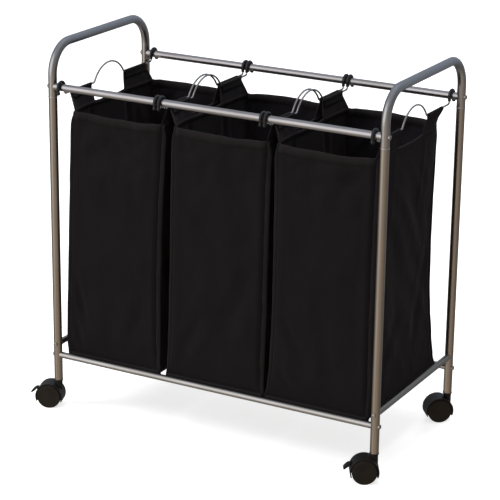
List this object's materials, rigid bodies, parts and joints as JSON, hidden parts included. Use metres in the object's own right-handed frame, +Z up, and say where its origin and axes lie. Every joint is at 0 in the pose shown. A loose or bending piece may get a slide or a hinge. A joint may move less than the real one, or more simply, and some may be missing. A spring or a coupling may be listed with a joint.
{
  "type": "laundry cart",
  "caption": "Rolling laundry sorter cart: tube frame with end hoops on swivel casters, holding tall fabric bags hung by wire hooks with handle arches.",
  "frame": {"origin": "on the floor, under the middle of the tube frame", "axes": "+X along the long side to the right, -Y the front, +Z up"},
  "size_m": [0.8733, 0.4419, 0.8435],
  "materials": {
    "tube_steel": "satin nickel plated steel tube",
    "screw_steel": "plated dome-head screws",
    "plug_plastic": "moulded black plastic",
    "pin_steel": "zinc plated pin",
    "wheel_plastic": "moulded nylon, dull",
    "black_plastic": "moulded black plastic, slight sheen",
    "bag_cloth": "black woven polyester",
    "board_plastic": "stiff sheet under the cloth floor",
    "wire_steel": "bright drawn wire"
  },
  "bodies": {
    "frame": {"caster_sockets": "black_plastic", "hoop_left": "tube_steel", "hoop_right": "tube_steel", "leg_front_left": "tube_steel", "leg_front_right": "tube_steel", "leg_rear_left": "tube_steel", "leg_rear_right": "tube_steel", "lower_rail_front": "tube_steel", "lower_rail_plugs": "plug_plastic", "lower_rail_rear": "tube_steel", "lower_rail_screws": "screw_steel", "side_rail_left": "tube_steel", "side_rail_plugs": "plug_plastic", "side_rail_right": "tube_steel", "side_rail_screws": "screw_steel", "top_rail_front": "tube_steel", "top_rail_plugs": "plug_plastic", "top_rail_rear": "tube_steel", "top_rail_screws": "screw_steel"},
    "caster_front_left": {"caster_front_left_housing": "black_plastic", "caster_front_left_stem": "pin_steel", "caster_front_left_axle": "pin_steel"},
    "caster_front_left_wheel_a": {"caster_front_left_wheel_a": "wheel_plastic"},
    "caster_front_left_wheel_b": {"caster_front_left_wheel_b": "wheel_plastic"},
    "caster_front_left_brake": {"caster_front_left_brake": "black_plastic"},
    "caster_front_right": {"caster_front_right_housing": "black_plastic", "caster_front_right_stem": "pin_steel", "caster_front_right_axle": "pin_steel"},
    "caster_front_right_wheel_a": {"caster_front_right_wheel_a": "wheel_plastic"},
    "caster_front_right_wheel_b": {"caster_front_right_wheel_b": "wheel_plastic"},
    "caster_front_right_brake": {"caster_front_right_brake": "black_plastic"},
    "caster_rear_left": {"caster_rear_left_housing": "black_plastic", "caster_rear_left_stem": "pin_steel", "caster_rear_left_axle": "pin_steel"},
    "caster_rear_left_wheel_a": {"caster_rear_left_wheel_a": "wheel_plastic"},
    "caster_rear_left_wheel_b": {"caster_rear_left_wheel_b": "wheel_plastic"},
    "caster_rear_right": {"caster_rear_right_housing": "black_plastic", "caster_rear_right_stem": "pin_steel", "caster_rear_right_axle": "pin_steel"},
    "caster_rear_right_wheel_a": {"caster_rear_right_wheel_a": "wheel_plastic"},
    "caster_rear_right_wheel_b": {"caster_rear_right_wheel_b": "wheel_plastic"},
    "bag_left": {"bag_left_shell": "bag_cloth", "bag_left_base_board": "board_plastic", "bag_left_wire_left": "wire_steel", "bag_left_wire_right": "wire_steel", "bag_left_hooks": "black_plastic"},
    "bag_middle": {"bag_middle_shell": "bag_cloth", "bag_middle_base_board": "board_plastic", "bag_middle_wire_left": "wire_steel", "bag_middle_wire_right": "wire_steel", "bag_middle_hooks": "black_plastic"},
    "bag_right": {"bag_right_shell": "bag_cloth", "bag_right_base_board": "board_plastic", "bag_right_wire_left": "wire_steel", "bag_right_wire_right": "wire_steel", "bag_right_hooks": "black_plastic"}
  },
  "joints": [
    {"name": "swivel_front_left", "type": "hinge", "parent": "frame", "child": "caster_front_left", "pos_m": [-0.395, -0.189, 0.063], "axis": [0, 0, 1], "continuous": true},
    {"name": "roll_front_left_a", "type": "hinge", "parent": "caster_front_left", "child": "caster_front_left_wheel_a", "pos_m": [-0.41379, -0.19584, 0.027], "axis": [-0.342, 0.9397, 0], "continuous": true},
    {"name": "roll_front_left_b", "type": "hinge", "parent": "caster_front_left", "child": "caster_front_left_wheel_b", "pos_m": [-0.41379, -0.19584, 0.027], "axis": [-0.342, 0.9397, 0], "continuous": true},
    {"name": "brake_front_left", "type": "hinge", "parent": "caster_front_left", "child": "caster_front_left_brake", "pos_m": [-0.4293, -0.20148, 0.0365], "axis": [0.342, -0.9397, 0], "range_deg": [0, 14]},
    {"name": "swivel_front_right", "type": "hinge", "parent": "frame", "child": "caster_front_right", "pos_m": [0.395, -0.189, 0.063], "axis": [0, 0, 1], "continuous": true},
    {"name": "roll_front_right_a", "type": "hinge", "parent": "caster_front_right", "child": "caster_front_right_wheel_a", "pos_m": [0.37768, -0.199, 0.027], "axis": [-0.5, 0.866, 0], "continuous": true},
    {"name": "roll_front_right_b", "type": "hinge", "parent": "caster_front_right", "child": "caster_front_right_wheel_b", "pos_m": [0.37768, -0.199, 0.027], "axis": [-0.5, 0.866, 0], "continuous": true},
    {"name": "brake_front_right", "type": "hinge", "parent": "caster_front_right", "child": "caster_front_right_brake", "pos_m": [0.36339, -0.20725, 0.0365], "axis": [0.5, -0.866, 0], "range_deg": [0, 14]},
    {"name": "swivel_rear_left", "type": "hinge", "parent": "frame", "child": "caster_rear_left", "pos_m": [-0.395, 0.189, 0.063], "axis": [0, 0, 1], "continuous": true},
    {"name": "roll_rear_left_a", "type": "hinge", "parent": "caster_rear_left", "child": "caster_rear_left_wheel_a", "pos_m": [-0.41298, 0.18023, 0.027], "axis": [-0.4384, 0.8988, 0], "continuous": true},
    {"name": "roll_rear_left_b", "type": "hinge", "parent": "caster_rear_left", "child": "caster_rear_left_wheel_b", "pos_m": [-0.41298, 0.18023, 0.027], "axis": [-0.4384, 0.8988, 0], "continuous": true},
    {"name": "swivel_rear_right", "type": "hinge", "parent": "frame", "child": "caster_rear_right", "pos_m": [0.395, 0.189, 0.063], "axis": [0, 0, 1], "continuous": true},
    {"name": "roll_rear_right_a", "type": "hinge", "parent": "caster_rear_right", "child": "caster_rear_right_wheel_a", "pos_m": [0.37924, 0.17669, 0.027], "axis": [-0.6157, 0.788, 0], "continuous": true},
    {"name": "roll_rear_right_b", "type": "hinge", "parent": "caster_rear_right", "child": "caster_rear_right_wheel_b", "pos_m": [0.37924, 0.17669, 0.027], "axis": [-0.6157, 0.788, 0], "continuous": true},
    {"name": "lift_bag_left", "type": "slide", "parent": "frame", "child": "bag_left", "axis": [0, 0, 1], "range_m": [0, 0.72]},
    {"name": "lift_bag_middle", "type": "slide", "parent": "frame", "child": "bag_middle", "axis": [0, 0, 1], "range_m": [0, 0.72]},
    {"name": "lift_bag_right", "type": "slide", "parent": "frame", "child": "bag_right", "axis": [0, 0, 1], "range_m": [0, 0.72]}
  ]
}
